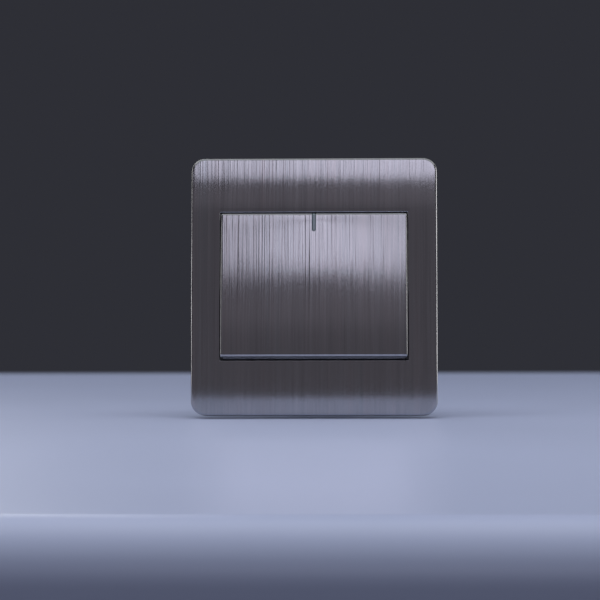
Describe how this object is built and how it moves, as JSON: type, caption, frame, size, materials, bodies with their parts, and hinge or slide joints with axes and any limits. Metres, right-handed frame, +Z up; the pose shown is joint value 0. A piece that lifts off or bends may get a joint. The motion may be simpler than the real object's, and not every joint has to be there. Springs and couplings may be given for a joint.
{
  "type": "rocker wall switch",
  "caption": "Square wall switch with one large rocker, a brushed metal face and a locator lens; two-way snap mechanism with rear screw terminals.",
  "frame": {"origin": "midway between the two fixing slots, on the wall's surface (the yoke's rear face)", "axes": "+X to the right seen from the room, +Y into the wall, +Z up; the face looks along -Y"},
  "size_m": [0.086, 0.0349, 0.09],
  "materials": {
    "brushed_skin": "vertically brushed, lacquered",
    "carrier_plastic": "fine satin",
    "lens": "translucent, polished",
    "zinc_steel": "zinc plated",
    "mechanism_plastic": "moulded, satin",
    "cradle_plastic": "moulded, satin",
    "plunger_plastic": "moulded nylon",
    "spring_steel": "drawn wire",
    "brass": "pressed and machined",
    "copper_alloy": "pressed strip",
    "silver": "matt silver alloy",
    "lamp_glass": "clear glass",
    "resistor_body": "lacquered"
  },
  "bodies": {
    "base": {"face_trim": "brushed_skin", "cover_frame": "carrier_plastic", "support_yoke": "zinc_steel", "earth_terminal": "brass", "earth_screw": "zinc_steel", "mechanism_housing": "mechanism_plastic", "mechanism_cover": "mechanism_plastic", "housing_screws": "zinc_steel", "fixed_contacts": "silver", "common_terminal": "copper_alloy", "terminal_l1": "copper_alloy", "terminal_l2": "copper_alloy", "terminal_blocks": "brass", "terminal_screws": "zinc_steel", "neon_lamp": "lamp_glass", "lamp_holder": "cradle_plastic", "lamp_resistor": "resistor_body", "lamp_leads": "zinc_steel"},
    "rocker": {"rocker_skin": "brushed_skin", "rocker_cap": "carrier_plastic", "rocker_cradle": "cradle_plastic", "indicator_lens": "lens", "plunger_spring": "spring_steel"},
    "plunger": {"plunger": "plunger_plastic"},
    "see_saw": {"contact_bridge": "copper_alloy", "moving_contacts": "silver"}
  },
  "joints": [
    {"name": "rocker_tilt", "type": "hinge", "parent": "base", "child": "rocker", "pos_m": [0, -0.005, 0], "axis": [1, 0, 0], "range_deg": [0, 9]},
    {"name": "contact_tilt", "type": "hinge", "parent": "base", "child": "see_saw", "pos_m": [0, 0.0104, 0], "axis": [1, 0, 0], "range_deg": [-16, 0]},
    {"name": "plunger_slide", "type": "slide", "parent": "rocker", "child": "plunger", "axis": [0, -0.9969, 0.0785], "range_m": [0, 0.0012], "stiffness_N_per_m": 300, "springref_m": -0.003, "deforming": ["plunger_spring"]}
  ],
  "couplings": [
    {"joint": "contact_tilt", "follows": "rocker_tilt", "ratio": -1.7777}
  ]
}
